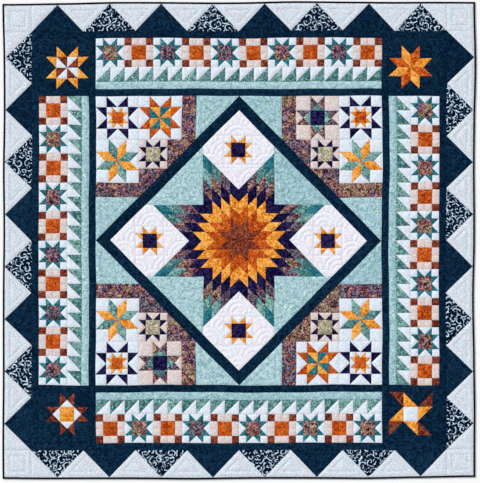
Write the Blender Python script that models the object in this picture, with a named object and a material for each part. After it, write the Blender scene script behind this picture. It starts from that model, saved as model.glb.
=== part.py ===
"""A star quilt blanket, laid flat with its pieced face up.

The quilted body is one cloth, sewn through its top, filling and backing. Four strips of binding fold over its edges.
The pieced face is set out in units of one small square, from the middle of the quilt: u runs right, v runs up.
"""
from math import ceil, cos, hypot, pi, sin, sqrt

import bmesh
import bpy
import numpy as np
from mathutils import Vector
from mathutils.geometry import delaunay_2d_cdt

# Driving sizes, in metres
WIDTH = 2.515  # along X
LENGTH = 2.540  # along Y
BODY_BOTTOM = 0.0
SEAM_TOP = 0.0040  # top of the cloth in a seam or a quilting line
LOFT = 0.0026  # how far a wide patch rises over its seams
QUILTED_RISE = 0.0004  # a quilting line lies this much over a seam
BINDING_WIDE = 0.0095  # what each leg of the folded binding covers
BINDING_CLOTH = 0.0010  # two layers and a turned edge
BINDING_TOP = 0.0050
GAP = 0.0003
FOOT_STEP = 0.0045  # from the binding's inner edge to where the backing meets the floor
SAME_PLACE = 0.0001
NOTHING = 1e-5  # in layout units

# Layout of the pieced face, in units of one small square
HALF = 33
UNIT_WIDE = WIDTH / 2 / HALF
UNIT_LONG = LENGTH / 2 / HALF
BORDER = 29  # inner edge of the dogtooth border
TEETH = 8  # teeth on each side of the border
BAND = 28  # inner edge of the navy band
CORNER = 20  # inner edge of the corner squares, and of the square frame
BLOCKS = 24  # inner edge of the row of small blocks
SMALL_BLOCK = 4
SAWTOOTH = 22  # inner edge of the sawtooth row
TOOTH = 2
FRAME = 21  # outer edge of the square frame
STAR_BLOCK = 6
DIAMOND_OUT = 20
DIAMOND_IN = 18
LONE_STAR = 12  # half of the square that the big star fills
RHOMBS = 4  # small rhombs along each edge of a point of the big star
POINT_SIDE = LONE_STAR * 2 / (2 + sqrt(2))
GOLD_STAR = 12.5  # how far the four small stars lie from the middle
SHELL = 2  # radius of a quilted shell
SHELL_STEPS = 4
LONGEST_EDGE = 3

# How far each edge of the quilt stands out from straight, in millimetres, at even steps from its low end to its high end
EDGE_WAVES = {
    "top": (-9, -4, 0, 1, 0, 4, 4, 2, 0),
    "left": (2, 2, 2, 0, -1, 0, -4, -2, 2),
    "bottom": (0, 1, 3, 3, 0, 1, 0, -4, -8),
    "right": (2, 3, -2, -5, -1, -1, 1, 6, 2),
}
SIDES = ("top", "left", "bottom", "right")  # each is a quarter turn on from the one before
SEWING_DRIFT = 0.0015  # how far the seams wander


def clear_scene():
    for old in list(bpy.data.objects):
        bpy.data.objects.remove(old, do_unlink=True)


def turned(point, quarters):
    """A point turned anticlockwise about the middle of the quilt."""
    u, v = point
    for _ in range(quarters % 4):
        u, v = -v, u
    return u, v


def edge_wave(side, along):
    """How far one edge stands out, in metres, with along from -1 to 1."""
    waves = EDGE_WAVES[side]
    place = (along + 1) / 2 * (len(waves) - 1)
    low = min(max(int(place), 0), len(waves) - 2)
    part = min(max(place - low, 0), 1)
    eased = part * part * (3 - 2 * part)
    return (waves[low] * (1 - eased) + waves[low + 1] * eased) / 1000


def uneven(point):
    """A point of the layout in metres, with the drift of the seams and the waves of the edges."""
    u, v = point
    right, up = u / HALF, v / HALF
    x = u * UNIT_WIDE + SEWING_DRIFT * sin(0.31 * v + 0.9) * cos(0.17 * u)
    y = v * UNIT_LONG + SEWING_DRIFT * sin(0.27 * u - 0.4) * cos(0.19 * v)
    x += edge_wave("right", up) * max(right, 0) ** 3 - edge_wave("left", up) * max(-right, 0) ** 3
    y += edge_wave("top", right) * max(up, 0) ** 3 - edge_wave("bottom", right) * max(-up, 0) ** 3
    return x, y


def stations():
    """Places along one side where the body and its binding share points: the border's seams and halfway between."""
    half_tooth = BORDER / TEETH / 2
    between = [-BORDER + half_tooth * i for i in range(4 * TEETH + 1)]
    corner = (HALF + BORDER) / 2
    return [-HALF, -corner] + between + [corner, HALF]


def ring(depth):
    """The points all round the quilt at a depth in from its edge, in metres, in layout units."""
    inset = depth / UNIT_WIDE
    points = []
    for quarters in range(4):
        for place in reversed(stations()[1:]):
            reach = HALF - inset
            points.append(turned((min(max(place, -reach), reach), reach), quarters))
    return points


OUTLINE = [uneven(point) for point in ring(0)]
MIDDLE_X = (min(x for x, y in OUTLINE) + max(x for x, y in OUTLINE)) / 2
MIDDLE_Y = (min(y for x, y in OUTLINE) + max(y for x, y in OUTLINE)) / 2


def placed(point, height):
    """A point of the layout as a place in the quilt's own frame."""
    x, y = uneven(point)
    return Vector((x - MIDDLE_X, y - MIDDLE_Y, height))


class Plan:
    """The sewn lines of the face, and the crowns between them."""

    def __init__(self):
        self.points = []
        self.edges = []
        self.quilted = set()
        self.crowns = []

    def line(self, *corners, quilting=False):
        """Adds a run of straight lines, with points along the long ones."""
        first = len(self.points)
        run = list(corners[:1])
        for (u, v), (next_u, next_v) in zip(corners, corners[1:]):
            parts = ceil(hypot(next_u - u, next_v - v) / LONGEST_EDGE)
            run += [(u + (next_u - u) * i / parts, v + (next_v - v) * i / parts) for i in range(1, parts + 1)]
        self.points += [(round(u, 4), round(v, 4)) for u, v in run]
        self.edges += [(first + i, first + i + 1) for i in range(len(run) - 1)]
        if quilting:
            self.quilted.update(range(first, len(self.points)))

    def four_sides(self, *corners):
        for quarters in range(4):
            self.line(*(turned(corner, quarters) for corner in corners))

    def spine(self, start, end, step):
        """Crowns along the middle of a long strip, on all four sides."""
        count = max(1, round(hypot(end[0] - start[0], end[1] - start[1]) / step))
        for quarters in range(4):
            for i in range(count):
                part = (i + 0.5) / count
                point = (start[0] + (end[0] - start[0]) * part, start[1] + (end[1] - start[1]) * part)
                self.crowns.append(turned(point, quarters))


def border_seams(plan):
    """The dogtooth border, its corner squares and the navy band inside it."""
    margin = HALF - (BINDING_WIDE + GAP) / UNIT_WIDE
    tooth = 2 * BORDER / TEETH
    plan.four_sides((-BORDER, BORDER), (BORDER, BORDER))
    plan.four_sides((-BAND, BAND), (BAND, BAND))
    plan.four_sides((BORDER, BORDER), (BORDER, margin))
    plan.four_sides((-BORDER, BORDER), (-BORDER, margin))
    for i in range(TEETH):
        left = -BORDER + tooth * i
        plan.four_sides((left, BORDER), (left + tooth / 2, margin), (left + tooth, BORDER))
    plan.spine((-BAND, (BAND + BORDER) / 2), (BAND, (BAND + BORDER) / 2), TOOTH)


def eight_point_star(plan, middle, half, sides=1):
    """The seams of a sawtooth star in its square, repeated round the quilt when sides is 4."""
    u, v = middle
    quarter = half / 2
    for turn in range(sides):
        def line(*corners):
            plan.line(*(turned((u + a * half, v + b * half), turn) for a, b in corners))

        line((-1, -1), (1, -1), (1, 1), (-1, 1), (-1, -1))
        inner = quarter / half
        for across in (-inner, inner):
            line((across, -1), (across, 1))
            line((-1, across), (1, across))
        for way in (-1, 1):
            line((-inner, way), (0, way * inner), (inner, way))
            line((way, -inner), (way * inner, 0), (way, inner))


def block_rows(plan):
    """The corner squares, the row of small blocks, the sawtooth row and the square frame."""
    eight_point_star(plan, ((CORNER + BAND) / 2,) * 2, (BAND - CORNER) / 2 - 1, sides=4)
    plan.four_sides((CORNER, CORNER), (CORNER, BAND))
    plan.four_sides((-CORNER, CORNER), (-CORNER, BAND))
    for height in (BLOCKS, SAWTOOTH, FRAME, CORNER):
        plan.four_sides((-CORNER, height), (CORNER, height))
    small = SMALL_BLOCK / 2
    for place in range(-CORNER, CORNER, 2 * SMALL_BLOCK):
        eight_point_star(plan, (place + small, BLOCKS + small), small, sides=4)
        left = place + SMALL_BLOCK
        for step in range(1, SMALL_BLOCK):
            plan.four_sides((left + step, BLOCKS), (left + step, BAND))
            plan.four_sides((left, BLOCKS + step), (left + SMALL_BLOCK, BLOCKS + step))
        plan.four_sides((left + SMALL_BLOCK, BLOCKS), (left + SMALL_BLOCK, BAND))
    for place in range(-CORNER, CORNER, TOOTH):
        plan.four_sides((place, BLOCKS), (place, SAWTOOTH), (place + TOOTH, BLOCKS))
    for low, high in ((CORNER, FRAME), (FRAME, SAWTOOTH)):
        plan.spine((-CORNER, (low + high) / 2), (CORNER, (low + high) / 2), TOOTH)


def star_blocks(plan):
    """Three star blocks in each corner of the inner square, and the triangles that fit them to the diamond."""
    half = STAR_BLOCK / 2
    far = CORNER - half
    near = far - STAR_BLOCK
    for middle in ((far, far), (near, far), (far, near)):
        eight_point_star(plan, middle, half, sides=4)
    low = near - half
    bar = CORNER - far + half
    plan.four_sides((low, CORNER), (low, CORNER - bar))
    plan.four_sides((low - TOOTH, CORNER), (low - TOOTH, CORNER - bar), (low, CORNER - bar))
    plan.four_sides((CORNER, low), (CORNER - bar, low))
    plan.four_sides((CORNER, low - TOOTH), (CORNER - bar, low - TOOTH), (CORNER - bar, low))
    patch = low + TOOTH
    plan.four_sides((patch, CORNER - bar), (patch, patch), (CORNER - bar, patch))


def diamond_frame(plan):
    for reach in (DIAMOND_OUT, DIAMOND_IN):
        plan.four_sides((reach, 0), (0, reach))
    middle = (DIAMOND_OUT + DIAMOND_IN) / 2
    plan.spine((middle, 0), (0, middle), TOOTH)


def lone_star(plan):
    """The big star: eight points of small rhombs, and a small star by each notch."""
    step = POINT_SIDE / RHOMBS
    for point in range(8):
        first = Vector((cos(pi / 4 * point), sin(pi / 4 * point)))
        second = Vector((cos(pi / 4 * (point + 1)), sin(pi / 4 * (point + 1))))
        for i in range(RHOMBS + 1):
            plan.line(*(tuple((first * i + second * j) * step) for j in range(RHOMBS + 1)))
            plan.line(*(tuple((second * i + first * j) * step) for j in range(RHOMBS + 1)))
    eight_point_star(plan, (0, GOLD_STAR), SMALL_BLOCK / 2, sides=4)


def on_ground(u, v):
    """Whether a point lies on the plain ground inside the diamond, clear of the stars."""
    u, v = abs(u), abs(v)
    if u + v > DIAMOND_IN - 0.4:
        return False
    half = SMALL_BLOCK / 2 + 0.2
    if min(u, v) < half and abs(max(u, v) - GOLD_STAR) < half:
        return False
    low, high = sorted((u, v))
    # A point of the big star is the rhomb between the axis and the diagonal
    along_diagonal = low * sqrt(2)
    along_axis = high - low
    return max(along_diagonal, along_axis) > POINT_SIDE + 0.2


def quilted_shells(plan):
    """Rows of half circles, the quilting of the plain ground."""
    for row in range(-DIAMOND_IN // SHELL, DIAMOND_IN // SHELL + 1):
        shift = SHELL * (row % 2)
        for column in range(-DIAMOND_IN, DIAMOND_IN + 1, 2 * SHELL):
            arc = []
            for step in range(SHELL_STEPS + 1):
                angle = pi * step / SHELL_STEPS
                point = (column + shift + SHELL * cos(angle), row * SHELL + SHELL * sin(angle))
                if on_ground(*point):
                    arc.append(point)
                    continue
                plan.line(*arc, quilting=True)
                arc = []
            plan.line(*arc, quilting=True)
            crown = (column + shift, row * SHELL + SHELL / 4)
            if on_ground(*crown):
                plan.crowns.append(crown)


def face_plan():
    plan = Plan()
    edge = ring(BINDING_WIDE + GAP)
    plan.line(*edge, edge[0])
    border_seams(plan)
    block_rows(plan)
    star_blocks(plan)
    diamond_frame(plan)
    lone_star(plan)
    quilted_shells(plan)
    return plan


def crowned(plan):
    """The face as triangles: layout points, faces, and each point's height over the seams."""
    seams = [Vector(point) for point in plan.points]
    whole = delaunay_2d_cdt(seams, plan.edges, [], 3, NOTHING)
    patches = [[whole[0][i] for i in patch] for patch in whole[2]]
    middles = [sum(patch, Vector((0, 0))) / len(patch) for patch in patches if len(patch) < 12]
    crowns = [Vector(point) for point in plan.crowns] + middles
    starts = np.array([seams[a] for a, b in plan.edges])
    runs = np.array([seams[b] for a, b in plan.edges]) - starts
    lengths = np.maximum((runs**2).sum(axis=1), NOTHING)
    rises = {}
    kept = []
    for crown in crowns:
        away = np.array(crown) - starts
        part = np.clip((away * runs).sum(axis=1) / lengths, 0, 1)
        nearest = np.sqrt((((away - runs * part[:, None])) ** 2).sum(axis=1).min())
        if nearest > 0.12:
            rises[len(seams) + len(kept)] = LOFT * min(1, nearest / 0.7) ** 0.6
            kept.append(crown)
    points, _, faces, sources, _, _ = delaunay_2d_cdt(seams + kept, plan.edges, [], 1, NOTHING)
    heights = []
    for source in sources:
        crown = next((i for i in source if i in rises), None)
        quilting = bool(source) and all(i in plan.quilted for i in source)
        heights.append(rises[crown] if crown is not None else QUILTED_RISE * quilting)
    return points, faces, heights


def new_object(name, mesh, colour, roughness):
    data = bpy.data.meshes.new(name)
    mesh.normal_update()
    mesh.to_mesh(data)
    mesh.free()
    material = bpy.data.materials.new(name + "_cotton")
    material.use_nodes = True
    shader = material.node_tree.nodes["Principled BSDF"]
    shader.inputs["Base Color"].default_value = (*colour, 1)
    shader.inputs["Roughness"].default_value = roughness
    shader.inputs["Metallic"].default_value = 0.0
    data.materials.append(material)
    thing = bpy.data.objects.new(name, data)
    bpy.context.collection.objects.link(thing)
    return thing


def quilted_body():
    """The sewn-through cloth: crowned face, thin margin under the binding, flat backing."""
    points, faces, heights = crowned(face_plan())
    mesh = bmesh.new()
    top = [mesh.verts.new(placed(point, SEAM_TOP + rise)) for point, rise in zip(points, heights)]
    for face in faces:
        mesh.faces.new([top[i] for i in face])
    bmesh.ops.remove_doubles(mesh, verts=mesh.verts, dist=SAME_PLACE)
    next_one = {}
    for face in mesh.faces:
        for loop in face.loops:
            if loop.edge.is_boundary:
                next_one[loop.vert] = loop.link_loop_next.vert
    start = placed(ring(BINDING_WIDE + GAP)[0], SEAM_TOP)
    current = min(next_one, key=lambda vert: (vert.co - start).length)
    first_ring = []
    for _ in next_one:
        first_ring.append(current)
        current = next_one[current]
    low = BODY_BOTTOM + BINDING_CLOTH + GAP
    high = BINDING_TOP - BINDING_CLOTH - GAP
    for vert in first_ring:
        vert.co.z = high
    steps = (
        (BINDING_CLOTH + GAP, high),
        (BINDING_CLOTH + GAP, low),
        (BINDING_WIDE + GAP, low),
        (BINDING_WIDE + GAP + FOOT_STEP, BODY_BOTTOM),
    )
    above = first_ring
    for depth, height in steps:
        below = [mesh.verts.new(placed(point, height)) for point in ring(depth)]
        for i in range(len(above)):
            j = (i + 1) % len(above)
            mesh.faces.new((above[j], above[i], below[i], below[j]))
        above = below
    foot = ring(BINDING_WIDE + GAP + FOOT_STEP)
    inner = [(u, v) for u in range(-28, 29, 8) for v in range(-28, 29, 8)]
    border = [(i, (i + 1) % len(foot)) for i in range(len(foot))]
    flat = delaunay_2d_cdt([Vector(p) for p in foot + inner], border, [], 1, NOTHING)
    lower = []
    for point, source in zip(flat[0], flat[3]):
        at_edge = [i for i in source if i < len(foot)]
        lower.append(above[at_edge[0]] if at_edge else mesh.verts.new(placed(point, BODY_BOTTOM)))
    for face in flat[2]:
        mesh.faces.new([lower[i] for i in reversed(face)])
    return new_object("quilt_body", mesh, (0.45, 0.50, 0.60), 0.85)


def binding_section():
    """The folded strip in section, as (depth in from the edge, height), going round it."""
    fold = 0.0006
    cloth = BINDING_CLOTH
    return (
        (0, fold),
        (0, BINDING_TOP - fold),
        (fold, BINDING_TOP),
        (BINDING_WIDE, BINDING_TOP),
        (BINDING_WIDE, BINDING_TOP - cloth),
        (cloth, BINDING_TOP - cloth),
        (cloth, cloth),
        (BINDING_WIDE, cloth),
        (BINDING_WIDE, 0),
        (fold, 0),
    )


def binding_strip(quarters):
    """The strip on one side, mitred at both ends, a gap apart from its neighbours and from the body."""
    mesh = bmesh.new()
    mitre = GAP / sqrt(2) / UNIT_WIDE
    rings = []
    for place in stations():
        points = []
        for depth, height in binding_section():
            inset = depth / UNIT_WIDE
            reach = HALF - inset - mitre
            flat = turned((min(max(place, -reach), reach), HALF - inset), quarters)
            points.append(mesh.verts.new(placed(flat, height)))
        rings.append(points)
    count = len(rings[0])
    for before, after in zip(rings, rings[1:]):
        for i in range(count):
            j = (i + 1) % count
            mesh.faces.new((before[i], before[j], after[j], after[i]))
    mesh.faces.new(list(reversed(rings[0])))
    mesh.faces.new(rings[-1])
    bmesh.ops.recalc_face_normals(mesh, faces=mesh.faces)
    return new_object("binding_" + SIDES[quarters], mesh, (0.02, 0.035, 0.07), 0.8)


clear_scene()
quilted_body()
for side in range(4):
    binding_strip(side)
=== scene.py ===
"""The star quilt blanket, laid flat: a pieced and quilted top, a plain backing and a folded binding.

The pieced top is set out in units of one small square, from the middle of the quilt.
There u runs to the right and v runs up.
"""
import random
from math import cos, hypot, pi, sin, sqrt

import bpy
import numpy as np
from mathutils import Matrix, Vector, noise
from mathutils.bvhtree import BVHTree
from mathutils.geometry import delaunay_2d_cdt


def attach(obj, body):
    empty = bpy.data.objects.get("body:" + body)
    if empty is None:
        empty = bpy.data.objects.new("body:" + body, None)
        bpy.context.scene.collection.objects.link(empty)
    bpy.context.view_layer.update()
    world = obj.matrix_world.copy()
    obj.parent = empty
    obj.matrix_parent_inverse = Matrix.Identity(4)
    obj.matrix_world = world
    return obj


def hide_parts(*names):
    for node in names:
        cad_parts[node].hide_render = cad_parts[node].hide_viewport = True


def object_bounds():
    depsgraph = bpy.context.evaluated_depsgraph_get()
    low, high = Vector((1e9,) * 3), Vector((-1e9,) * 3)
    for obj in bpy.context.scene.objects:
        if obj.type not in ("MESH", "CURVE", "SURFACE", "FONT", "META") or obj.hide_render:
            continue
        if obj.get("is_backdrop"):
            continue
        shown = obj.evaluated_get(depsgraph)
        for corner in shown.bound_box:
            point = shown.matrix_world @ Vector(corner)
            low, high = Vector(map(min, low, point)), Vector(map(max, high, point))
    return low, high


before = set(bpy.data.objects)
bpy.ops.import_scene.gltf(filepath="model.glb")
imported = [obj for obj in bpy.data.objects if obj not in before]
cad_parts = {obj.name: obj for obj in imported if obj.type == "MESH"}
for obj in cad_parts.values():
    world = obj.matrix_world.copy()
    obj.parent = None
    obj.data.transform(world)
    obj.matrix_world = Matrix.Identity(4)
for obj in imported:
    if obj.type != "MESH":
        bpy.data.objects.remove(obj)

cad_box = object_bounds()

# Sizes in metres, the same as the solids have
WIDTH = 2.515
LENGTH = 2.540
SEAM_TOP = 0.0036  # height of the cloth at a seam
LOFT = 0.0032  # how much higher it stands in the middle of a patch
BINDING_WIDE = 0.0095
UNDER_BINDING = 0.0036  # height of the top's edge inside the fold
TUCKED = 0.0040  # how far in from the quilt's edge the top ends, inside the fold

# The relief of the top, in metres
SEAM_SLOPE = 0.0080  # from a seam to where the cloth has risen about two thirds of its height
STITCH_SLOPE = 0.0068
STITCH_LIFT = 0.08  # share of the height that is left on a quilting line
HOLLOW = 0.16  # width of the soft rises and hollows of the filling
CRUMPLE = 0.034
PUCKER = 0.017  # from one pucker to the next along a sewn line

# The cloth close to, in metres
STITCH = 0.0032  # from one quilting stitch to the next
THREAD = 0.0009  # from one thread of the weave to the next
FAR_FROM_SEWING = 0.05  # the distance marked on cloth that has no seam or stitch near it

# Layout in units of one small square, measured from the middle where nothing else is said
HALF = 33
UNIT_WIDE = WIDTH / 2 / HALF
UNIT_LONG = LENGTH / 2 / HALF
BORDER = 29  # foot of the border's triangles
TEETH = 8  # triangles along one side of the border
BAND = 28  # inner edge of the navy band
BLOCKS = 24  # foot of the row of stars and chains
SAWTOOTH = 22  # foot of the sawtooth row
FRAME = 21  # outer edge of the navy frame
CORNER = 20  # corner of the inner square
SMALL_BLOCK = 4  # side of a block in the rows
TOOTH = 2  # side of a sawtooth
STAR_BLOCK = 6  # side of a block in the corners of the inner square
DIAMOND_OUT = 20
DIAMOND_IN = 18
LONE_STAR = 12  # half the side of the square that the big star fills
RHOMBS = 4  # along one side of a point of the big star
POINT_SIDE = LONE_STAR * 2 / (2 + sqrt(2))
GOLD_STAR = 12.5  # to the middle of a small gold star
SHELL = 2  # radius of a quilted shell
SHELL_ECHOES = 3  # half circles in one shell
GROUND_CLEAR = 0.15  # between the shells and the seams round the plain ground
ECHO = 0.8  # from a large patch's seams to the quilting line that follows them
ECHO_ROOM = 0.4  # least room inside the innermost of these lines
TIP = HALF - (BINDING_WIDE + 0.0003) / UNIT_WIDE
EDGE = HALF - TUCKED / UNIT_WIDE
CLOTH_STEP = 1 / 8  # between points of the cloth
BACKING_STEPS = 84  # along one side of a quarter of the backing

# How far each edge stands out from a straight line, in millimetres, at nine places along it
EDGE_WAVES = {
    "top": (-9, -4, 0, 1, 0, 4, 4, 2, 0),
    "left": (2, 2, 2, 0, -1, 0, -4, -2, 2),
    "bottom": (0, 1, 3, 3, 0, 1, 0, -4, -8),
    "right": (2, 3, -2, -5, -1, -1, 1, 6, 2),
}
SEWING_DRIFT = 0.0015  # how far the whole quilt wanders from its straight lines
STRAY = 0.0024  # how far the seams wander besides, which fades out towards the outline

# The quilt in the photograph, in pixels of its 480 by 483 frame
IMAGE_WIDE = 480
IMAGE_TALL = 483
QUILT_LEFT = 3.4
QUILT_RIGHT = 475.2
QUILT_TOP = 1.9
QUILT_BOTTOM = 478.8

# The camera's height and the floor in metres, the film's width in millimetres
CAMERA_HEIGHT = 7.0
FILM = 36
FLOOR_WIDE = 160
FLOOR_HEIGHT = -0.0004

SKY = 0.415  # brightness of the light overhead
# Each lamp's name, the way to it, its softness in radians and its strength
LAMPS = (
    ("key", (-3.0, 2.6, 1.9), 0.3, 3.62),
    ("fill", (2.8, -3.0, 4.0), 0.9, 0.2),
)

QUARTERS = {"upper_right": (1, 1), "upper_left": (-1, 1), "lower_left": (-1, -1), "lower_right": (1, -1)}


# The unevenness of the sewn cloth


def edge_wave(side, along):
    """How far an edge stands out, in metres, with along from -1 to 1."""
    waves = np.array(EDGE_WAVES[side]) / 1000
    place = np.clip((along + 1) / 2, 0, 1) * (len(waves) - 1)
    low = np.minimum(place.astype(int), len(waves) - 2)
    part = place - low
    eased = part * part * (3 - 2 * part)
    return waves[low] * (1 - eased) + waves[low + 1] * eased


def uneven(u, v):
    """Layout points in metres, with the wandering of sewn lines and the waves of the edges."""
    right = u / HALF
    up = v / HALF
    x = u * UNIT_WIDE + SEWING_DRIFT * np.sin(0.31 * v + 0.9) * np.cos(0.17 * u)
    y = v * UNIT_LONG + SEWING_DRIFT * np.sin(0.27 * u - 0.4) * np.cos(0.19 * v)
    x += edge_wave("right", up) * np.maximum(right, 0) ** 3
    x -= edge_wave("left", up) * np.maximum(-right, 0) ** 3
    y += edge_wave("top", right) * np.maximum(up, 0) ** 3
    y -= edge_wave("bottom", right) * np.maximum(-up, 0) ** 3
    stray = STRAY * (1 - right**8) * (1 - up**8)
    x += stray * (np.sin(0.25 * v + 2.1) * np.cos(0.12 * u + 0.7) + 0.4 * np.sin(0.83 * v + 0.3 * u))
    y += stray * (np.sin(0.26 * u + 1.2) * np.cos(0.11 * v - 0.5) + 0.4 * np.sin(0.78 * u - 0.4 * v + 2))
    return x, y


def outline_middle():
    along = np.linspace(-HALF, HALF, 500)
    end = np.full_like(along, HALF)
    sides = [uneven(along, end), uneven(along, -end), uneven(end, along), uneven(-end, along)]
    x = np.concatenate([side[0] for side in sides])
    y = np.concatenate([side[1] for side in sides])
    return (x.min() + x.max()) / 2, (y.min() + y.max()) / 2


MIDDLE_X, MIDDLE_Y = outline_middle()


def placed(u, v, height):
    """Layout points as an array of places in metres."""
    x, y = uneven(np.asarray(u, float), np.asarray(v, float))
    return np.stack([x - MIDDLE_X, y - MIDDLE_Y, np.broadcast_to(height, x.shape)], axis=1)


# The patches of the top


def turned(point, quarters):
    u, v = point
    for _ in range(quarters % 4):
        u, v = -v, u
    return u, v


def all_round(*shapes):
    """The same patches four times, a quarter turn apart."""
    return [
        (fabric, [turned(corner, quarters) for corner in corners])
        for quarters in range(4)
        for fabric, corners in shapes
    ]


def rectangle(left, low, right, high):
    return [(left, low), (right, low), (right, high), (left, high)]


def sawtooth_star(points, middle, ground):
    """A square star with eight triangle points, as a chart from -1 to 1, round a fabric or a chart."""
    chart = all_round(
        (ground, rectangle(0.5, 0.5, 1, 1)),
        (ground, [(-0.5, 1), (0, 0.5), (0.5, 1)]),
        (points, [(-0.5, 0.5), (0, 0.5), (-0.5, 1)]),
        (points, [(0.5, 0.5), (0.5, 1), (0, 0.5)]),
    )
    if isinstance(middle, str):
        return chart + [(middle, rectangle(-0.5, -0.5, 0.5, 0.5))]
    return chart + [(fabric, [(u / 2, v / 2) for u, v in corners]) for fabric, corners in middle]


def ohio_star(points, middle, ground, inner):
    third = 1 / 3
    chart = all_round(
        (ground, rectangle(third, third, 1, 1)),
        (ground, [(-third, 1), (0, 2 * third), (third, 1)]),
        (inner, [(-third, third), (third, third), (0, 2 * third)]),
        (points, [(-third, third), (0, 2 * third), (-third, 1)]),
        (points, [(third, third), (third, 1), (0, 2 * third)]),
    )
    return chart + [(middle, rectangle(-third, -third, third, third))]


def eight_rhombs(first, second, ground):
    """The plain eight-pointed star of rhombs."""
    notch = 2 / (2 + sqrt(2))
    tip = 1 - notch
    return all_round(
        (first, [(0, 0), (notch, 0), (1, tip), (tip, tip)]),
        (second, [(0, 0), (tip, tip), (tip, 1), (0, notch)]),
        (ground, rectangle(tip, tip, 1, 1)),
        (ground, [(notch, 0), (1, -tip), (1, tip)]),
    )


def friendship_star(points, middle, ground, corner):
    third = 1 / 3
    chart = all_round(
        (corner, [(third, third), (1, third), (1, 1)]),
        (ground, [(third, third), (1, 1), (third, 1)]),
        (points, [(-third, third), (third, third), (-third, 1)]),
        (ground, [(third, third), (third, 1), (-third, 1)]),
    )
    return chart + [(middle, rectangle(-third, -third, third, third))]


def pinwheel(first, second):
    return all_round((first, [(0, 0), (1, 0), (1, 1)]), (second, [(0, 0), (1, 1), (0, 1)]))


def chain(middle, ends, ground):
    """Four squares by four, both diagonals dark: one fabric in the middle and another at the ends."""
    chart = []
    for row in range(4):
        for column in range(4):
            dark = ends if row in (0, 3) else middle
            fabric = dark if row in (column, 3 - column) else ground
            left = column / 2 - 1
            low = row / 2 - 1
            chart.append((fabric, rectangle(left, low, left + 0.5, low + 0.5)))
    return chart


class Patchwork:
    """The pieced top as flat patches: a fabric and its corners, going round anticlockwise."""

    def __init__(self):
        self.patches = []

    def piece(self, fabric, *corners, quarters=0):
        corners = [turned(corner, quarters) for corner in corners]
        corners = [(round(u, 5), round(v, 5)) for u, v in corners]
        after = corners[1:] + corners[:1]
        turn = sum(a[0] * b[1] - a[1] * b[0] for a, b in zip(corners, after))
        self.patches.append((fabric, corners if turn > 0 else corners[::-1]))

    def round_about(self, fabric, *corners):
        for quarters in range(4):
            self.piece(fabric, *corners, quarters=quarters)

    def block(self, chart, middle, half, quarters=0):
        for fabric, corners in chart:
            moved = [(middle[0] + u * half, middle[1] + v * half) for u, v in corners]
            self.piece(fabric, *moved, quarters=quarters)


def border(top):
    """Dogtooth triangles on pale ground, with plain corner squares, and the navy band inside them."""
    tooth = 2 * BORDER / TEETH
    patches = []
    for i in range(TEETH):
        left = -BORDER + tooth * i
        right = left + tooth
        fabric = ("navy_batik", "scroll_print")[i % 2]
        patches.append((fabric, [(left, BORDER), (right, BORDER), (left + tooth / 2, TIP)]))
        if i < TEETH - 1:
            between = [(left + tooth / 2, TIP), (right, BORDER), (right + tooth / 2, TIP)]
            patches.append(("border_print", between))
    patches += [
        ("border_print", [(-BORDER, BORDER), (-BORDER + tooth / 2, TIP), (-BORDER, TIP)]),
        ("border_print", [(BORDER, BORDER), (BORDER, TIP), (BORDER - tooth / 2, TIP)]),
        ("border_print", rectangle(BORDER, BORDER, TIP, TIP)),
        ("border_print", [(-TIP, TIP), (TIP, TIP), (EDGE, EDGE), (-EDGE, EDGE)]),
        ("navy_batik", [(-BAND, BAND), (BAND, BAND), (BORDER, BORDER), (-BORDER, BORDER)]),
    ]
    for side in range(4):
        top.block(patches, (0, 0), 1, side)


def corner_squares(top):
    """A different star on navy in each corner of the field."""
    stars = (
        eight_rhombs("gold_batik", "rust_batik", "navy_batik"),
        sawtooth_star("gold_batik", pinwheel("russet_batik", "pale_print"), "navy_batik"),
        ohio_star("russet_batik", "gold_batik", "navy_batik", "pale_print"),
        friendship_star("gold_batik", "pale_print", "navy_batik", "russet_batik"),
    )
    middle = (CORNER + BAND) / 2
    outer = (BAND - CORNER) / 2
    inner = outer - 1
    strips = [
        ("navy_batik", rectangle(-outer, inner, outer, outer)),
        ("navy_batik", rectangle(-outer, -outer, outer, -inner)),
        ("navy_batik", rectangle(-outer, -inner, -inner, inner)),
        ("navy_batik", rectangle(inner, -inner, outer, inner)),
    ]
    for side, star in enumerate(stars):
        top.block(star, (middle, middle), inner, side)
        top.block(strips, (middle, middle), 1, side)


def block_rows(top):
    """Small stars and chains by turns, then a sawtooth row, a pale strip and the navy frame."""
    half = SMALL_BLOCK / 2
    star = sawtooth_star("teal_batik", "multi_batik", "pale_print")
    squares = chain("rust_batik", "russet_batik", "peach_print")
    for side in range(4):
        for i, place in enumerate(range(-CORNER, CORNER, SMALL_BLOCK)):
            top.block((star, squares)[i % 2], (place + half, BLOCKS + half), half, side)
        for place in range(-CORNER, CORNER, TOOTH):
            low = (place, SAWTOOTH)
            high = (place + TOOTH, BLOCKS)
            top.piece("sea_batik", low, (place + TOOTH, SAWTOOTH), high, quarters=side)
            top.piece("pale_print", low, (place, BLOCKS), high, quarters=side)
    top.round_about("aqua_batik", *rectangle(-CORNER, FRAME, CORNER, SAWTOOTH))
    top.round_about("navy_batik", *rectangle(-CORNER, CORNER, CORNER, FRAME))


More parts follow.
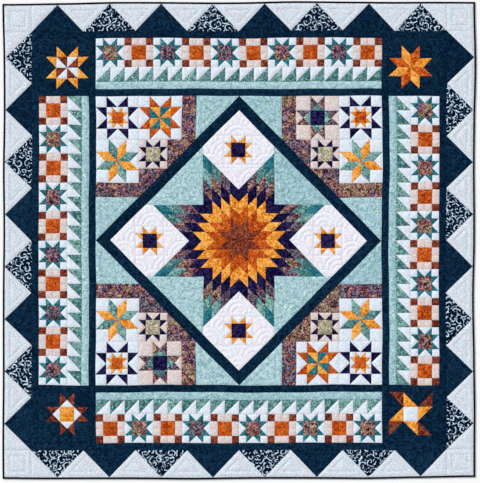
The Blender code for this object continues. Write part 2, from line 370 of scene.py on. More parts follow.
def star_corners(top):
    """Star blocks in each corner of the inner square, and the patches that fit them to the diamond."""
    half = STAR_BLOCK / 2
    far = CORNER - half
    near = far - STAR_BLOCK
    inner = near - half
    glowing = sawtooth_star("gold_batik", "rust_batik", "pale_print")
    rising = sawtooth_star("purple_batik", glowing, "pale_print")
    rhombs = eight_rhombs("sea_batik", "gold_batik", "pale_print")
    ohio = ohio_star("multi_batik", "purple_batik", "peach_print", "sea_batik")
    bright = sawtooth_star("rust_batik", pinwheel("gold_batik", "teal_batik"), "pale_print")
    small = sawtooth_star("purple_batik", "sand_batik", "peach_print")
    beside = (ohio, rhombs, bright)
    for side in range(4):
        top.block(rising, (far, far), half, side)
        top.block(beside[side % 2], (near, far), half, side)
        top.block(beside[side % 2 + 1], (far, near), half, side)
        top.block(small, (inner + SMALL_BLOCK, inner + SMALL_BLOCK), SMALL_BLOCK / 2, side)
    blocks_low = far - half
    patch = inner + TOOTH
    meet = DIAMOND_OUT - blocks_low
    fitted = (
        ("multi_batik", rectangle(inner - TOOTH, blocks_low, inner, CORNER)),
        ("aqua_batik", [(0, CORNER), (meet, blocks_low), (meet, CORNER)]),
        ("multi_batik", [(meet, blocks_low), (patch, patch), (patch, blocks_low)]),
    )
    for fabric, corners in fitted:
        top.round_about(fabric, *corners)
    for fabric, corners in fitted:
        top.round_about(fabric, *((v, u) for u, v in corners))


def medallion(top):
    """The navy diamond, the big star, four small gold stars and the pale ground between them."""
    top.round_about("navy_batik", (DIAMOND_OUT, 0), (0, DIAMOND_OUT), (0, DIAMOND_IN), (DIAMOND_IN, 0))
    rings = ("russet_batik", "rust_batik", "gold_batik", "purple_batik", "multi_batik", "sea_batik",
             "teal_batik")
    step = POINT_SIDE / RHOMBS
    for point in range(8):
        first = (cos(pi / 4 * point) * step, sin(pi / 4 * point) * step)
        second = (cos(pi / 4 * (point + 1)) * step, sin(pi / 4 * (point + 1)) * step)
        for i in range(RHOMBS):
            for j in range(RHOMBS):
                corners = [(first[0] * a + second[0] * b, first[1] * a + second[1] * b)
                           for a, b in rectangle(i, j, i + 1, j + 1)]
                top.piece(rings[i + j], *corners)
    gold = sawtooth_star("gold_batik", "purple_batik", "milk_print")
    half = SMALL_BLOCK / 2
    low = GOLD_STAR - half
    high = GOLD_STAR + half
    tip = LONE_STAR - POINT_SIDE
    for side in range(4):
        top.block(gold, (0, GOLD_STAR), half, side)
    top.round_about("milk_print", (0, POINT_SIDE), (low - POINT_SIDE, low), (POINT_SIDE - low, low))
    top.round_about("milk_print", (DIAMOND_IN - high, high), (0, DIAMOND_IN), (high - DIAMOND_IN, high))
    for way in (1, -1):
        side_corners = ((half, low), (low - POINT_SIDE, low), (tip, LONE_STAR), (tip, DIAMOND_IN - tip),
                        (DIAMOND_IN - high, high), (half, high))
        top.round_about("milk_print", *((way * u, v) for u, v in side_corners))
    top.round_about("aqua_batik", (tip, tip), (DIAMOND_IN - tip, tip), (tip, DIAMOND_IN - tip))


def pieced_top():
    top = Patchwork()
    border(top)
    corner_squares(top)
    block_rows(top)
    star_corners(top)
    medallion(top)
    return top.patches


# The quilting lines


def on_ground(u, v):
    """Whether a point lies on the plain ground inside the diamond, clear of the stars."""
    u, v = abs(u), abs(v)
    if u + v > DIAMOND_IN - 2 * GROUND_CLEAR:
        return False
    clear = SMALL_BLOCK / 2 + GROUND_CLEAR
    if min(u, v) < clear and abs(max(u, v) - GOLD_STAR) < clear:
        return False
    low, high = sorted((u, v))
    return max(low * sqrt(2), high - low) > POINT_SIDE + GROUND_CLEAR


def shells():
    """Rows of half circles with echoes inside them, broken off where the ground ends."""
    lines = []
    rows = DIAMOND_IN // SHELL
    for row in range(-rows, rows + 1):
        for column in range(-rows, rows + 1, 2):
            centre = (SHELL * (column + row % 2), SHELL * row)
            for echo in range(1, SHELL_ECHOES + 1):
                radius = SHELL * echo / SHELL_ECHOES
                steps = 6 * echo + 2
                arc = []
                for i in range(steps + 1):
                    angle = pi * i / steps
                    point = (centre[0] + radius * cos(angle), centre[1] + radius * sin(angle))
                    if on_ground(*point):
                        arc.append(point)
                        continue
                    lines.append(arc)
                    arc = []
                lines.append(arc)
    return [line for line in lines if len(line) > 1]


def inset(corners, depth):
    """A convex patch's outline moved in by a depth, or nothing where it is too small for that."""
    lines = []
    for (u, v), (next_u, next_v) in zip(corners, corners[1:] + corners[:1]):
        run = hypot(next_u - u, next_v - v)
        normal = ((v - next_v) / run, (next_u - u) / run)
        lines.append((normal, normal[0] * u + normal[1] * v + depth))
    moved = []
    for ((a, b), c), ((d, e), f) in zip(lines[-1:] + lines[:-1], lines):
        cross = a * e - b * d
        if abs(cross) < 1e-6:
            return []
        moved.append(((c * e - b * f) / cross, (a * f - c * d) / cross))
    inside = all(n[0] * u + n[1] * v > reach - 1e-4 for u, v in moved for n, reach in lines)
    return moved if inside else []


def echo_lines(patches):
    """Quilting that follows the seams inside each large patch away from the shells."""
    lines = []
    for fabric, corners in patches:
        middle = (sum(u for u, v in corners) / len(corners), sum(v for u, v in corners) / len(corners))
        if abs(middle[0]) + abs(middle[1]) < DIAMOND_IN:
            continue
        depth = ECHO
        while inset(corners, depth + ECHO_ROOM):
            loop = inset(corners, depth)
            lines.append(loop + loop[:1])
            depth += ECHO
    return lines


class Curtains:
    """Sewn lines, stood up as low walls so that the nearest one is found quickly."""

    def __init__(self, lines):
        self.starts = []
        self.runs = []
        walls = []
        places = []
        for line in lines:
            run = 0
            for (u, v), (next_u, next_v) in zip(line, line[1:]):
                first = len(places)
                places += [(u, v, -1), (next_u, next_v, -1), (next_u, next_v, 1), (u, v, 1)]
                walls.append((first, first + 1, first + 2, first + 3))
                self.starts.append((u, v))
                self.runs.append(run)
                run += hypot(next_u - u, next_v - v)
        self.tree = BVHTree.FromPolygons(places, walls)

    def nearest(self, points):
        """How far each point lies from a line, and how far along the line, in layout units."""
        away = np.zeros(len(points))
        along = np.zeros(len(points))
        for i, (u, v) in enumerate(points):
            spot, _, wall, distance = self.tree.find_nearest((u, v, 0))
            away[i] = distance
            start = self.starts[wall]
            along[i] = self.runs[wall] + hypot(spot.x - start[0], spot.y - start[1])
        return away, along


# The cloth of the top


def clipped(corners, sign_u, sign_v):
    """The part of a patch that lies in one quarter of the quilt."""
    for axis, sign in ((0, sign_u), (1, sign_v)):
        kept = []
        for here, after in zip(corners, corners[1:] + corners[:1]):
            a = here[axis] * sign
            b = after[axis] * sign
            if a >= 0:
                kept.append(here)
            if a * b < 0:
                part = a / (a - b)
                kept.append(tuple(round(p + (q - p) * part, 5) for p, q in zip(here, after)))
        corners = kept
    if not corners:
        return []
    spread = [max(c[axis] for c in corners) - min(c[axis] for c in corners) for axis in (0, 1)]
    return corners if min(spread) > 1e-4 else []


class Cutter:
    """Cuts outlines into short steps that neighbouring patches share."""

    def __init__(self, corners):
        self.corners = np.array(sorted(corners))
        self.known = {}

    def stepped(self, start, end):
        """The points from start up to end, with every corner that lies between them."""
        low, high = sorted((start, end))
        if (low, high) not in self.known:
            self.known[low, high] = self.steps_between(low, high)
        points = self.known[low, high]
        return points[:-1] if start == low else points[:0:-1]

    def steps_between(self, low, high):
        run = np.array(high) - low
        length = hypot(*run)
        away = self.corners - low
        part = away @ run / length**2
        off_line = np.abs(away[:, 0] * run[1] - away[:, 1] * run[0]) / length
        between = (off_line < 1e-3) & (part * length > 1e-3) & ((1 - part) * length > 1e-3)
        order = np.argsort(part[between])
        stops = [low] + [tuple(corner) for corner in self.corners[between][order]] + [high]
        points = [low]
        for here, after in zip(stops, stops[1:]):
            count = max(1, round(hypot(after[0] - here[0], after[1] - here[1]) / CLOTH_STEP))
            for i in range(1, count):
                points.append(tuple(round(p + (q - p) * i / count, 5) for p, q in zip(here, after)))
            points.append(after)
        return points


def stepped_line(line, sign_u, sign_v):
    """A quilting line's part in one quarter, as pairs of points a step apart."""
    pairs = []
    for (u, v), (next_u, next_v) in zip(line, line[1:]):
        count = max(1, round(hypot(next_u - u, next_v - v) / CLOTH_STEP))
        for i in range(count):
            a = (u + (next_u - u) * i / count, v + (next_v - v) * i / count)
            b = (u + (next_u - u) * (i + 1) / count, v + (next_v - v) * (i + 1) / count)
            cuts = [0, 1]
            for axis in (0, 1):
                if a[axis] * b[axis] < 0:
                    cuts.append(a[axis] / (a[axis] - b[axis]))
            cuts.sort()
            for low, high in zip(cuts, cuts[1:]):
                ends = [tuple(round(p + (q - p) * part, 5) for p, q in zip(a, b)) for part in (low, high)]
                middle = [(p + q) / 2 for p, q in zip(*ends)]
                if middle[0] * sign_u >= 0 and middle[1] * sign_v >= 0 and ends[0] != ends[1]:
                    pairs.append(ends)
    return pairs


def lattice(sign_u, sign_v, seams, quilting):
    """Points of a three-way grid over one quarter, away from every sewn line."""
    points = []
    row_step = CLOTH_STEP * sqrt(3) / 2
    for row in range(1, int(EDGE / row_step)):
        shift = 0.25 + 0.5 * (row % 2)
        for column in range(int(EDGE / CLOTH_STEP)):
            points.append((sign_u * (column + shift) * CLOTH_STEP, sign_v * row * row_step))
    points = np.array(points)
    clear = 0.5 * CLOTH_STEP
    keep = (seams.nearest(points)[0] > clear) & (quilting.nearest(points)[0] > clear)
    keep &= (np.abs(points).max(axis=1) < EDGE - clear) & (np.abs(points).min(axis=1) > clear)
    return points[keep]


def soft_step(value, low, high):
    part = np.clip((value - low) / (high - low), 0, 1)
    return part * part * (3 - 2 * part)


def crinkled(away, along):
    """Small puckers across a sewn line, from 0 on the line to their fullest a few millimetres away."""
    wave = np.sin(along * (2 * pi / PUCKER) + 1.7 * np.sin(along * 23))
    return wave * np.exp(-away / 0.008) * (1 - np.exp(-away / 0.003))


def puffed(points, places, seam, seam_along, stitch, stitch_along):
    """The height of the quilted top: drawn down along the seams and stitches, full between them."""
    over_seam = 1 - np.exp(-seam / SEAM_SLOPE)
    over_stitch = STITCH_LIFT + (1 - STITCH_LIFT) * (1 - np.exp(-stitch / STITCH_SLOPE))
    settled = np.array([noise.noise((x / HOLLOW, y / HOLLOW, 0)) for x, y in places])
    crumpled = np.array([noise.noise((x / CRUMPLE, y / CRUMPLE, 7)) for x, y in places])
    height = SEAM_TOP + LOFT * np.minimum(over_seam, over_stitch) * (1 + 0.25 * settled)
    height += 0.0003 * settled + 0.0006 * crumpled * over_seam * over_stitch
    height += 0.0006 * crinkled(stitch, stitch_along) + 0.0004 * crinkled(seam, seam_along)
    depth = (HALF - np.abs(points).max(axis=1)) * UNIT_WIDE
    full = soft_step(depth, BINDING_WIDE - 0.001, BINDING_WIDE + 0.012)
    return UNDER_BINDING + (height - UNDER_BINDING) * full


def cloth_mark(mesh, name, values, domain="POINT"):
    """A number for each point or face of the cloth, for its finish to read."""
    layer = mesh.attributes.new(name, "FLOAT", domain)
    layer.data.foreach_set("value", np.asarray(values, np.float32))


def set_map(mesh, name, flat):
    layer = mesh.uv_layers.new(name=name)
    layer.data.foreach_set("uv", np.asarray(flat, np.float32).ravel())


def whole_map(mesh, places, corners):
    """A map that fills its square with the piece seen from above, for the baked finish."""
    low = places[:, :2].min(axis=0)
    size = (places[:, :2].max(axis=0) - low).max()
    set_map(mesh, "OFBake", (places[corners, :2] - low) / size)


def add_mesh(name, places, faces):
    mesh = bpy.data.meshes.new(name)
    mesh.from_pydata(places.tolist(), [], faces)
    piece = bpy.data.objects.new(name, mesh)
    bpy.context.scene.collection.objects.link(piece)
    mesh.shade_smooth()
    return piece


def top_quarter(name, signs, patches, pieces, quilting_lines, cutter, seams, quilting, fabrics):
    """One quarter of the pieced top, with every seam and quilting line sewn into the cloth."""
    index = {}
    points = []

    def point(place):
        if place not in index:
            index[place] = len(points)
            points.append(place)
        return index[place]

    faces = []
    owners = []
    for number, corners in pieces:
        loop = []
        for start, end in zip(corners, corners[1:] + corners[:1]):
            loop += [point(tuple(step)) for step in cutter.stepped(start, end)]
        faces.append(loop)
        owners.append(number)
    edges = []
    for line in quilting_lines:
        edges += [(point(a), point(b)) for a, b in stepped_line(line, *signs)]
    for place in lattice(*signs, seams, quilting):
        points.append(tuple(place))
    only_inside = 1
    cut = delaunay_2d_cdt([Vector(place) for place in points], edges, faces, only_inside, 1e-6)
    flat = np.array([tuple(place) for place in cut[0]])
    kept = [(face, owners[source[0]]) for face, source in zip(cut[2], cut[5]) if source]
    seam, seam_along = (part * UNIT_WIDE for part in seams.nearest(flat))
    stitch, stitch_along = (part * UNIT_WIDE for part in quilting.nearest(flat))
    places = placed(flat[:, 0], flat[:, 1], 0)
    places[:, 2] = puffed(flat, places[:, :2], seam, seam_along, stitch, stitch_along)
    piece = add_mesh("pieced_top_" + name, places, [face for face, owner in kept])
    mesh = piece.data
    for fabric in fabrics.values():
        mesh.materials.append(fabric)
    names = list(fabrics)
    owner = np.array([number for face, number in kept])
    fabric_of = np.array([names.index(fabric) for fabric, corners in patches])
    mesh.polygons.foreach_set("material_index", fabric_of[owner].astype(np.int32))
    chance = random.Random(11)
    cuts = np.array([[chance.random() for _ in range(4)] for _ in patches])
    corners = np.array([face for face, number in kept]).ravel()
    of_corner = np.repeat(owner, 3)
    angle = cuts[of_corner, 0] * 2 * pi
    x, y = places[corners, 0], places[corners, 1]
    turned_x = x * np.cos(angle) - y * np.sin(angle) + cuts[of_corner, 1]
    turned_y = x * np.sin(angle) + y * np.cos(angle) + cuts[of_corner, 2]
    set_map(mesh, "cloth", np.stack([turned_x, turned_y], axis=1))
    whole_map(mesh, places, corners)
    cloth_mark(mesh, "shade", cuts[owner, 3], "FACE")
    cloth_mark(mesh, "seam", seam)
    cloth_mark(mesh, "stitch", stitch)
    cloth_mark(mesh, "along", stitch_along)
    return piece


# The finishes


def dye(red, green, blue):
    """A colour from its 0 to 255 values, as light."""
    parts = (red / 255, green / 255, blue / 255)
    return tuple(p / 12.92 if p <= 0.04045 else ((p + 0.055) / 1.055) ** 2.4 for p in parts)


class Value:
    """A node's socket, so that sums on it can be written as sums."""

    def __init__(self, finish, socket):
        self.finish = finish
        self.socket = socket

    def math(self, operation, *values, clamp=False):
        inputs = {i: value for i, value in enumerate(values)}
        return self.finish.node("ShaderNodeMath", {"operation": operation, "use_clamp": clamp}, inputs)

    def __add__(self, other):
        return self.math("ADD", self, other)

    def __sub__(self, other):
        return self.math("SUBTRACT", self, other)

    def __mul__(self, other):
        return self.math("MULTIPLY", self, other)

    def __rsub__(self, other):
        return self.math("SUBTRACT", other, self)

    __radd__ = __add__
    __rmul__ = __mul__

    def above(self, level, softness):
        """0 below a level and 1 above it, with a soft edge."""
        return self.math("MULTIPLY_ADD", self - level, 1 / softness, 0.5, clamp=True)

    def sine(self):
        return self.math("SINE", self)


class Finish:
    """One material and its nodes."""

    def __init__(self, name, sheen=0.02):
        self.material = bpy.data.materials.new(name)
        self.material.use_nodes = True
        self.tree = self.material.node_tree
        self.shader = self.tree.nodes["Principled BSDF"]
        self.shader.inputs["Roughness"].default_value = 0.9
        self.shader.inputs["Sheen Weight"].default_value = sheen
        self.shader.inputs["Specular IOR Level"].default_value = 0.03

    def node(self, kind, settings=None, inputs=None, output=0):
        node = self.tree.nodes.new(kind)
        for name, setting in (settings or {}).items():
            if name == "stops":
                self.set_stops(node.color_ramp, setting)
            else:
                setattr(node, name, setting)
        for name, value in (inputs or {}).items():
            self.feed(node.inputs[name], value)
        return Value(self, node.outputs[output])

    def set_stops(self, ramp, stops):
        while len(ramp.elements) < len(stops):
            ramp.elements.new(1)
        for element, (place, colour) in zip(ramp.elements, stops):
            element.position = place
            element.color = (*colour, 1)

    def feed(self, socket, value):
        if isinstance(value, Value):
            self.tree.links.new(value.socket, socket)
        elif isinstance(value, tuple) and len(value) == 3 and socket.type == "RGBA":
            socket.default_value = (*value, 1)
        else:
            socket.default_value = value

    def cloth(self):
        return self.node("ShaderNodeUVMap", {"uv_map": "cloth"})

    def mark(self, name):
        return self.node("ShaderNodeAttribute", {"attribute_name": name}, output="Fac")

    def noise(self, place, size, detail=3.0, distortion=0.0):
        inputs = {"Vector": place, "Scale": 1 / size, "Detail": detail, "Distortion": distortion,
                  "Roughness": 0.55}
        return self.node("ShaderNodeTexNoise", {"noise_dimensions": "2D"}, inputs, "Fac")

    def ramp(self, factor, *stops):
        return self.node("ShaderNodeValToRGB", {"stops": stops}, {"Fac": factor}, "Color")

    def mix(self, factor, first, second, blend="MIX"):
        settings = {"data_type": "RGBA", "blend_type": blend}
        return self.node("ShaderNodeMix", settings, {0: factor, 6: first, 7: second}, 2)

    def vector(self, operation, *values, output=0):
        inputs = {i: value for i, value in enumerate(values)}
        return self.node("ShaderNodeVectorMath", {"operation": operation}, inputs, output)

    def parts(self, vector):
        split = self.node("ShaderNodeSeparateXYZ", {}, {0: vector})
        outputs = split.socket.node.outputs
        return [Value(self, output) for output in outputs]

    def swayed(self, place, size, reach):
        """The cloth's map pushed about a little, so that figures on it don't repeat."""
        bent = self.node("ShaderNodeTexNoise", {"noise_dimensions": "2D"},
                         {"Vector": place, "Scale": 1 / size, "Detail": 1.0}, "Color")
        sway = self.vector("SCALE", self.vector("SUBTRACT", bent, (0.5, 0.5, 0.5)))
        sway.socket.node.inputs["Scale"].default_value = reach
        return self.vector("ADD", place, sway)

    def scrolls(self, place, size, pitch, weight):
        """Curled tendrils: a spiral in each cell of a loose honeycomb. Gives 1 on a line."""
        place = self.swayed(place, size * 0.9, size * 0.45)
        cells = self.node("ShaderNodeTexVoronoi", {"voronoi_dimensions": "2D"},
                          {"Vector": place, "Scale": 1 / size, "Randomness": 0.9})
        outputs = cells.socket.node.outputs
        arm = self.vector("SUBTRACT", place, Value(self, outputs["Position"]))
        x, y, _ = self.parts(arm)
        chance, hand, _ = self.parts(Value(self, outputs["Color"]))
        angle = y.math("ARCTAN2", y, x) * (hand.above(0.5, 0.01) * 2 - 1)
        radius = self.vector("LENGTH", arm, output="Value")
        curl = (angle + radius * (2 * pi / pitch) + chance * (2 * pi)).sine()
        return curl.above(1 - 2 * weight, 0.35)

    def sewn(self, colour, soft=1.0, thread=None):
        """Finishes a cotton: painted shade by the seams and stitches, quilting thread, weave and a fine
        crumple by the stitches.
        """
        place = self.cloth()
        seam = self.mark("seam")
        stitch = self.mark("stitch")
        along = self.mark("along")
        # Painted shade: the colour is multiplied towards a blue grey within about 2 mm of a seam and, more
        # faintly, within about 3 mm of a quilting line.
        seam_painted_shade = (1 - seam.above(0.0011, 0.0022)) * 0.3
        stitch_painted_shade = (1 - stitch.above(0.0014, 0.0028)) * 0.1
        colour = self.mix(seam_painted_shade + stitch_painted_shade, colour, dye(150, 158, 172), "MULTIPLY")
        dash = (along * (2 * pi / STITCH)).sine().above(-0.45, 0.5)
        line = (1 - stitch.above(0.00035, 0.0003)) * dash
        colour = self.mix(line * 0.55, colour, thread or dye(196, 205, 216))
        x, y, _ = self.parts(place)
        weave = (x * (2 * pi / THREAD)).sine() * (y * (2 * pi / THREAD)).sine()
        near = 1 - (seam.math("MINIMUM", seam, stitch)).above(0.007, 0.014)
        crumple = self.noise(place, 0.008, 2.0, 0.4)
        height = weave * 0.00001 + crumple * (near * 0.0012 + 0.0006) * soft - line * 0.0001
        bump = self.node("ShaderNodeBump", {}, {"Height": height, "Distance": 1.0, "Strength": 1.0})
        self.feed(self.shader.inputs["Base Color"], colour)
        self.feed(self.shader.inputs["Normal"], bump)
        return self.material


def batik(name, dark, middle, light, fleck=None, tint=None, shift=0.25, thread=None):
    """Hand-dyed cotton: blotches, crackle, flecks and a second tint, changing from patch to patch."""
    finish = Finish(name)
    place = finish.cloth()
    broad = (finish.noise(place, 0.019, 3.0, 0.8) - 0.5) * 2.1
    fine = (finish.noise(place, 0.0075, 2.0, 0.4) - 0.5) * 2.1
    tone = broad + fine + (finish.mark("shade") - 0.5) * shift + 0.5
    colour = finish.ramp(tone, (0.15, dark), (0.5, middle), (0.85, light))
    if tint:
        elsewhere = finish.vector("ADD", place, (2.7, 5.9, 0.0))
        cloud = finish.noise(elsewhere, 0.045, 2.0, 0.8).above(0.54, 0.16)
        colour = finish.mix(cloud * 0.5, colour, tint)
    if fleck:
        spots = finish.noise(place, 0.009, 3.0, 1.5).above(0.58, 0.10)
        colour = finish.mix(spots * 0.6, colour, fleck)
    return finish.sewn(colour, thread=thread)


# Grey, plum, brick and tan, each from dark to light
MULTI_DYES = (
    ((20, 16, 30), (74, 68, 80), (158, 150, 160)),
    ((28, 4, 28), (88, 52, 76), (168, 128, 158)),
    ((50, 16, 16), (126, 76, 66), (210, 160, 146)),
    ((40, 32, 22), (118, 98, 80), (202, 180, 156)),
)


def multi_batik(name):
    """Cotton dyed over with grey, plum, brick and tan, with each patch cut from another place."""
    finish = Finish(name)
    place = finish.cloth()
    hue = finish.noise(finish.vector("ADD", place, (3.1, 1.7, 0.0)), 0.05, 2.0, 0.6)
    hue = hue + (finish.mark("shade") - 0.5) * 0.25
    broad = (finish.noise(place, 0.019, 3.0, 1.2) - 0.5) * 2.1
    fine = (finish.noise(place, 0.0075, 2.0, 0.6) - 0.5) * 2.1
    tone = broad + fine + 0.5
    dyed = [
        finish.ramp(tone, (0.1, dye(*dark)), (0.5, dye(*middle)), (0.95, dye(*light)))
        for dark, middle, light in MULTI_DYES
    ]
    colour = dyed[0]
    for level, over in zip((0.42, 0.52, 0.62), dyed[1:]):
        colour = finish.mix(hue.above(level, 0.1), colour, over)
    return finish.sewn(colour)


def pale_print(name, ground, mark, wash):
    """White cotton with a faint tone-on-tone scroll, a touch pinker here and greener there."""
    finish = Finish(name)
    place = finish.cloth()
    cloud = finish.noise(place, 0.017, 3.0, 0.8)
    figure = finish.scrolls(place, 0.026, 0.0125, 0.3)
    colour = finish.mix(cloud.above(0.5, 0.25), ground, wash)
    colour = finish.mix(figure * 0.9, colour, mark)
    blush = finish.noise(finish.vector("ADD", place, (6.1, 3.3, 0.0)), 0.05, 2.0, 0.6).above(0.5, 0.12)
    tint = finish.mix(blush, (0.975, 1.01, 1.0), (1.02, 0.98, 0.99))
    return finish.sewn(finish.mix(1.0, colour, tint, "MULTIPLY"), thread=dye(206, 214, 226))


def scroll_print(name):
    """Navy cotton printed with white tendrils."""
    finish = Finish(name)
    place = finish.cloth()
    tone = finish.noise(place, 0.014, 3.0, 0.5)
    ground = finish.ramp(tone, (0.3, dye(0, 8, 32)), (0.7, dye(0, 25, 54)))
    figure = finish.scrolls(place, 0.037, 0.0205, 0.135)
    leaves = finish.noise(place, 0.016, 2.0, 1.4).above(0.71, 0.03)
    elsewhere = finish.vector("ADD", place, (5.3, 2.2, 0.0))
    broken = finish.noise(elsewhere, 0.020, 2.0, 0.8).above(0.43, 0.06)
    figure = figure.math("MAXIMUM", figure * broken, leaves)
    return finish.sewn(finish.mix(figure * 0.97, ground, dye(212, 236, 254)), thread=dye(90, 110, 132))


def top_fabrics():
    navy = {"thread": dye(60, 84, 110)}
    plum = {"thread": dye(84, 84, 120)}
    return {
        "milk_print": pale_print("milk_print", dye(249, 248, 255), dye(226, 227, 238), dye(234, 233, 246)),
        "pale_print": pale_print("pale_print", dye(237, 246, 255), dye(206, 218, 231), dye(221, 229, 241)),
        "border_print": pale_print("border_print", dye(229, 237, 246), dye(196, 207, 219),
                                   dye(212, 220, 230)),
        "peach_print": pale_print("peach_print", dye(236, 224, 222), dye(202, 190, 194),
                                  dye(220, 204, 196)),
        "navy_batik": batik("navy_batik", dye(0, 18, 40), dye(2, 31, 54), dye(20, 53, 78), **navy),
        "scroll_print": scroll_print("scroll_print"),
        "aqua_batik": batik("aqua_batik", dye(124, 172, 180), dye(166, 205, 209), dye(204, 232, 232),
                            fleck=dye(104, 146, 156), tint=dye(178, 206, 226)),
        "sea_batik": batik("sea_batik", dye(36, 84, 92), dye(92, 146, 142), dye(164, 202, 192),
                           fleck=dye(56, 100, 102), tint=dye(86, 120, 134), shift=0.5),
        "teal_batik": batik("teal_batik", dye(6, 64, 80), dye(28, 104, 116), dye(74, 152, 160),
                            fleck=dye(16, 116, 98), tint=dye(34, 96, 136)),
        "sand_batik": batik("sand_batik", dye(122, 112, 88), dye(180, 168, 142), dye(226, 216, 192),
                            fleck=dye(112, 108, 86), tint=dye(150, 158, 146)),
        "rust_batik": batik("rust_batik", dye(136, 42, 4), dye(190, 79, 20), dye(234, 122, 50),
                            tint=dye(170, 72, 30)),
        "russet_batik": batik("russet_batik", dye(78, 24, 20), dye(116, 49, 33), dye(158, 86, 62)),
        "gold_batik": batik("gold_batik", dye(204, 98, 2), dye(243, 157, 40), dye(255, 206, 112),
                            fleck=dye(198, 96, 12), tint=dye(250, 174, 86)),
        "purple_batik": batik("purple_batik", dye(0, 0, 30), dye(12, 10, 54), dye(50, 42, 92), **plum),
        "multi_batik": multi_batik("multi_batik"),
    }


def plain_cotton(name, dark, light, soft=1.0):
    """Plain dyed cotton for the binding and the backing, which hold their own map in metres."""
    finish = Finish(name)
    place = finish.cloth()
    tone = finish.noise(place, 0.03, 3.0, 0.5)
    return finish.sewn(finish.ramp(tone, (0.3, dark), (0.7, light)), soft, thread=light)


# The backing and the binding


def deselect():
    for thing in list(bpy.context.selected_objects):
        thing.select_set(False)


def cloth_grid(name, across, along):
    """A flat piece of cloth to fold into place, and each point's share of its width and length."""
    deselect()
    bpy.ops.mesh.primitive_grid_add(x_subdivisions=across, y_subdivisions=along, size=1)
    piece = bpy.context.object
    piece.name = name
    piece.data.name = name
    flat = np.zeros(len(piece.data.vertices) * 3)
    piece.data.vertices.foreach_get("co", flat)
    flat = flat.reshape(-1, 3)
    piece.data.shade_smooth()
    while piece.data.uv_layers:
        piece.data.uv_layers.remove(piece.data.uv_layers[0])
    return piece, flat[:, 0] + 0.5, flat[:, 1] + 0.5


def laid_in_place(piece, places, signs):
    """Moves the cloth's points to their places, good side out, and gives each face corner's point."""
    mesh = piece.data
    mesh.vertices.foreach_set("co", places.ravel())
    if signs[0] * signs[1] > 0:
        mesh.flip_normals()
    corners = np.zeros(len(mesh.loops), np.int32)
    mesh.loops.foreach_get("vertex_index", corners)
    return corners


# Heights of the backing above what the quilt lies on
BACKING_LOW = 0.0004
BACKING_DRAWN = 0.0010  # how much higher it is drawn on a quilting line
BACKING_IN_FOLD = 0.0016


def backing_quarter(name, signs, quilting, material):
    """The plain back of one quarter, drawn up a little along the quilting and under the binding."""
    piece, right, up = cloth_grid("backing_" + name, BACKING_STEPS, BACKING_STEPS)
    points = np.stack([signs[0] * right * EDGE, signs[1] * up * EDGE], axis=1)
    stitch = quilting.nearest(points)[0] * UNIT_WIDE
    depth = (HALF - np.abs(points).max(axis=1)) * UNIT_WIDE
    drawn = BACKING_LOW + BACKING_DRAWN * np.exp(-stitch / 0.006)
    hidden = 1 - soft_step(depth, BINDING_WIDE, BINDING_WIDE + 0.006)
    height = drawn * (1 - hidden) + BACKING_IN_FOLD * hidden
    places = placed(points[:, 0], points[:, 1], height)
    corners = laid_in_place(piece, places, signs)
    mesh = piece.data
    set_map(mesh, "cloth", places[corners, :2])
    whole_map(mesh, places, corners)
    cloth_mark(mesh, "seam", np.full(len(points), FAR_FROM_SEWING))
    cloth_mark(mesh, "stitch", stitch)
    cloth_mark(mesh, "along", np.zeros(len(points)))
    mesh.materials.append(material)
    mesh.update()
    return piece


# The folded strip in section, from the seam on the face round the fold to the back.
# Each row holds how far in from the edge it lies and its height.
BINDING_SECTION = (
    (0.0100, 0.0037),
    (0.0096, 0.0044),
    (0.0086, 0.0050),
    (0.0060, 0.0053),
    (0.0030, 0.0052),
    (0.0012, 0.0048),
    (0.0002, 0.0040),
    (0.0000, 0.0028),
    (0.0002, 0.0014),
    (0.0012, 0.0005),
    (0.0035, 0.0002),
    (0.0070, 0.0002),
    (0.0092, 0.0004),
    (0.0100, 0.0012),
)
FOLD = 7  # the row of the section on the quilt's very edge
FOLD_INSET = 0.00015
BINDING_STATIONS = 230  # sections along half a side
CLEAR_OF_MITRE = 0.012  # no section lies nearer than this to a corner but the one on its mitre


def binding_corner(name, signs, material):
    """Half of two sides of the binding and the mitred corner between them."""
    section = np.array(BINDING_SECTION)
    piece, across, along = cloth_grid("binding_" + name, len(section) - 1, 2 * BINDING_STATIONS)
    rows = np.rint(across * (len(section) - 1)).astype(int)
    steps = np.rint(along * 2 * BINDING_STATIONS).astype(int) - BINDING_STATIONS
    reach = HALF - CLEAR_OF_MITRE / UNIT_WIDE
    outer = np.where(steps == 0, HALF, reach * (1 - (np.abs(steps) - 1) / (BINDING_STATIONS - 1)))
    run = outer * UNIT_WIDE
    plump = 0.00035 * np.sin(run * 71 + signs[0]) * np.sin(run * 163 + 2 * signs[1])
    plump += 0.0002 * np.sin(run * 419)
    front = (rows > 0) & (rows < FOLD)
    height = section[rows, 1] + np.where(front, plump, 0)
    shifted = section[rows, 0] + np.where(rows == 0, 0, 0.5 * plump)
    far = HALF - np.where(rows == FOLD, FOLD_INSET, shifted) / UNIT_WIDE
    near = np.minimum(outer, far)
    on_first = steps <= 0
    u = np.where(on_first, near, far) * signs[0]
    v = np.where(on_first, far, near) * signs[1]
    corners = laid_in_place(piece, placed(u, v, height), signs)
    mesh = piece.data
    strip = np.concatenate([[0], np.cumsum(np.hypot(*np.diff(section, axis=0).T))])
    flat = np.stack([strip[rows], np.where(on_first, -1, 1) * (HALF - outer) * UNIT_WIDE], axis=1)
    set_map(mesh, "cloth", flat[corners])
    # Distance along the strip from its seam on the face; the finish paints shade along that seam from it.
    cloth_mark(mesh, "seam", strip[rows])
    cloth_mark(mesh, "stitch", np.full(len(flat), FAR_FROM_SEWING))
    cloth_mark(mesh, "along", np.zeros(len(flat)))
    mesh.materials.append(material)
    mesh.update()
    return piece


# The floor, the light and the camera


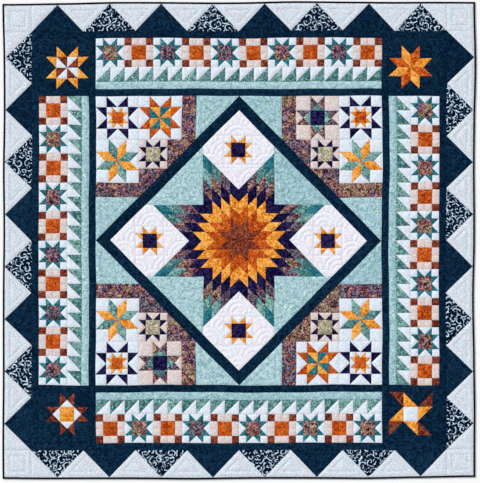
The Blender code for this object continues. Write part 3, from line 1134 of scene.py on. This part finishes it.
def pale_floor():
    deselect()
    bpy.ops.mesh.primitive_plane_add(size=FLOOR_WIDE, location=(0, 0, FLOOR_HEIGHT))
    floor = bpy.context.object
    floor.name = "floor"
    finish = Finish("floor_paint", sheen=0.0)
    cloud = finish.noise(finish.node("ShaderNodeTexCoord", {}, {}, "Object"), 0.9, 2.0)
    paint = finish.ramp(cloud, (0.2, dye(250, 250, 251)), (0.8, dye(252, 252, 253)))
    finish.feed(finish.shader.inputs["Base Color"], paint)
    floor.data.materials.append(finish.material)
    floor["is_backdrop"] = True


def studio_light():
    """Even light, brightest at the horizon, and two soft lamps far off that show the relief."""
    world = bpy.data.worlds.new("studio")
    bpy.context.scene.world = world
    world.use_nodes = True
    nodes = world.node_tree.nodes
    links = world.node_tree.links
    direction = nodes.new("ShaderNodeTexCoord")
    height = nodes.new("ShaderNodeSeparateXYZ")
    sky = nodes.new("ShaderNodeValToRGB")
    sky.color_ramp.elements[0].color = (0.96, 0.96, 0.97, 1)
    sky.color_ramp.elements[1].color = (SKY, SKY, SKY, 1)
    sky.color_ramp.elements[1].position = 0.5
    links.new(direction.outputs["Generated"], height.inputs[0])
    links.new(height.outputs["Z"], sky.inputs["Fac"])
    links.new(sky.outputs["Color"], nodes["Background"].inputs["Color"])
    for name, towards, softness, strength in LAMPS:
        deselect()
        bpy.ops.object.light_add(type="SUN", location=towards)
        lamp = bpy.context.object
        lamp.name = name
        lamp.data.angle = softness
        lamp.data.energy = strength
        lamp.rotation_euler = (-Vector(towards)).to_track_quat("-Z", "Y").to_euler()
    bpy.context.scene.view_settings.view_transform = "Standard"


def camera_over_quilt():
    pixel = WIDTH / (QUILT_RIGHT - QUILT_LEFT)
    x = (IMAGE_WIDE / 2 - (QUILT_LEFT + QUILT_RIGHT) / 2) * pixel
    y = ((QUILT_TOP + QUILT_BOTTOM) / 2 - IMAGE_TALL / 2) * pixel
    deselect()
    bpy.ops.object.camera_add(location=(x, y, CAMERA_HEIGHT), rotation=(0, 0, 0))
    camera = bpy.context.object
    camera.data.sensor_width = FILM
    camera.data.lens = FILM * CAMERA_HEIGHT / (IMAGE_TALL * pixel)
    bpy.context.scene.camera = camera


def make_top(fabrics, seams, quilting, quilting_lines, patches):
    cut = {name: [] for name in QUARTERS}
    for number, (fabric, corners) in enumerate(patches):
        for name, signs in QUARTERS.items():
            part = clipped(corners, *signs)
            if part:
                cut[name].append((number, part))
    cutter = Cutter({corner for pieces in cut.values() for number, part in pieces for corner in part})
    for name, signs in QUARTERS.items():
        yield top_quarter(name, signs, patches, cut[name], quilting_lines, cutter, seams, quilting,
                          fabrics)


def declare(piece, nodes):
    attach(piece, "root")
    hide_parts(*nodes)


def main():
    patches = pieced_top()
    quilting_lines = shells() + echo_lines(patches)
    seams = Curtains([corners + corners[:1] for fabric, corners in patches])
    quilting = Curtains(quilting_lines)
    fabrics = top_fabrics()
    backing = plain_cotton("backing_cotton", dye(214, 220, 230), dye(226, 231, 240))
    binding = plain_cotton("binding_cotton", dye(3, 6, 16), dye(12, 20, 38), soft=0.6)
    tops = make_top(fabrics, seams, quilting, quilting_lines, patches)
    for (name, signs), top in zip(QUARTERS.items(), tops):
        back = backing_quarter(name, signs, quilting, backing)
        fold = binding_corner(name, signs, binding)
        declare(back, ["quilt_body"])
        declare(top, ["quilt_body"])
        upright = "binding_right" if signs[0] > 0 else "binding_left"
        level = "binding_top" if signs[1] > 0 else "binding_bottom"
        declare(fold, [upright, level])
    pale_floor()
    studio_light()
    camera_over_quilt()
    boxes = {"cad": cad_box, "visual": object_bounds()}
    {name: [list(corner) for corner in box] for name, box in boxes.items()}


main()
